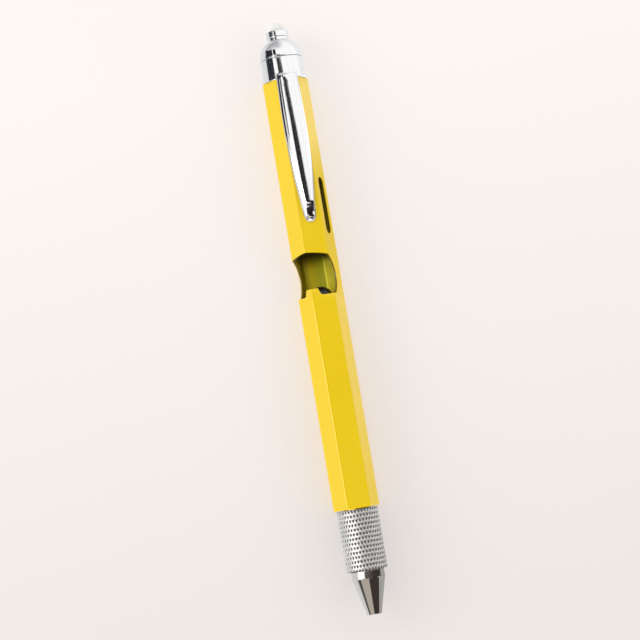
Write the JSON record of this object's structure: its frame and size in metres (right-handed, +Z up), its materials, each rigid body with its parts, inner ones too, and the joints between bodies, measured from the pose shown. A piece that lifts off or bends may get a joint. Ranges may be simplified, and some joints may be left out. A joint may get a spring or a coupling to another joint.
{
  "type": "multi tool pen",
  "caption": "Hexagonal twist ballpoint pen with a press torch, a bottle-opener window, a long slot and a pocket clip.",
  "frame": {"origin": "bottom centre of the whole pen as it lies with its clip up", "axes": "+X along the pen from the torch to the writing tip, +Z up through the clip's face"},
  "size_m": [0.149, 0.0114, 0.0121],
  "materials": {
    "yellow_paint": "smooth satin yellow paint on drawn aluminium tube",
    "chrome": "polished chrome plate",
    "clip_chrome": "polished chrome plate on spring steel",
    "knurled_silver": "bright diamond knurl",
    "satin_steel": "satin turned steel",
    "brass": "plain turned brass",
    "spring_steel": "drawn spring wire",
    "cell_steel": "nickel plated steel can",
    "tinned_wire": "tinned wire",
    "refill_nickel": "nickel plated refill",
    "ball_carbide": "polished carbide ball",
    "clear_lens": "clear moulded lens",
    "led_epoxy": "clear lamp resin",
    "black_plastic": "black moulded plastic",
    "white_plastic": "white moulded plastic",
    "black_rubber": "black nitrile rubber"
  },
  "bodies": {
    "barrel": {"barrel": "yellow_paint", "clip_collar": "chrome", "battery_sleeve": "white_plastic", "battery_cell_1": "cell_steel", "battery_cell_2": "cell_steel", "battery_cell_3": "cell_steel", "battery_spring": "spring_steel", "battery_stop": "brass", "mechanism_sleeve": "black_plastic", "grip_bush": "black_plastic"},
    "clip": {"pocket_clip": "clip_chrome"},
    "torch_head": {"torch_cap": "chrome", "contact_carrier": "white_plastic", "contact_pin": "brass", "switch_spring": "spring_steel"},
    "button": {"torch_button": "chrome", "torch_lens": "clear_lens", "led_bulb": "led_epoxy", "led_positive_leg": "tinned_wire", "led_negative_leg": "tinned_wire", "led_bush": "white_plastic"},
    "grip": {"knurled_grip": "knurled_silver", "grip_core": "brass", "twist_cam": "brass", "retaining_ring": "spring_steel", "friction_ring": "black_rubber"},
    "nose": {"nose_cone": "satin_steel"},
    "refill": {"refill_carrier": "white_plastic", "refill_tube": "refill_nickel", "refill_point": "refill_nickel", "writing_ball": "ball_carbide"}
  },
  "joints": [
    {"name": "grip_twist", "type": "hinge", "parent": "barrel", "child": "grip", "pos_m": [0.05555, 0, 0.00537], "axis": [1, 0, 0], "range_deg": [0, 180]},
    {"name": "refill_slide", "type": "slide", "parent": "barrel", "child": "refill", "axis": [1, 0, 0], "range_m": [0, 0.0036]},
    {"name": "torch_press", "type": "slide", "parent": "torch_head", "child": "button", "axis": [1, 0, 0], "range_m": [0, 0.0004], "stiffness_N_per_m": 2000},
    {"name": "clip_flex", "type": "hinge", "parent": "barrel", "child": "clip", "pos_m": [-0.06015, 0, 0.01017], "axis": [0, -1, 0], "range_deg": [0, 5], "stiffness_Nm_per_rad": 1.5},
    {"name": "cap_unscrew", "type": "slide", "parent": "barrel", "child": "torch_head", "axis": [-1, 0, 0], "range_m": [0, 0.012]},
    {"name": "nose_unscrew", "type": "slide", "parent": "grip", "child": "nose", "axis": [1, 0, 0], "range_m": [0, 0.02]}
  ],
  "couplings": [
    {"joint": "refill_slide", "follows": "grip_twist", "m_per_rad": 0.001145}
  ]
}
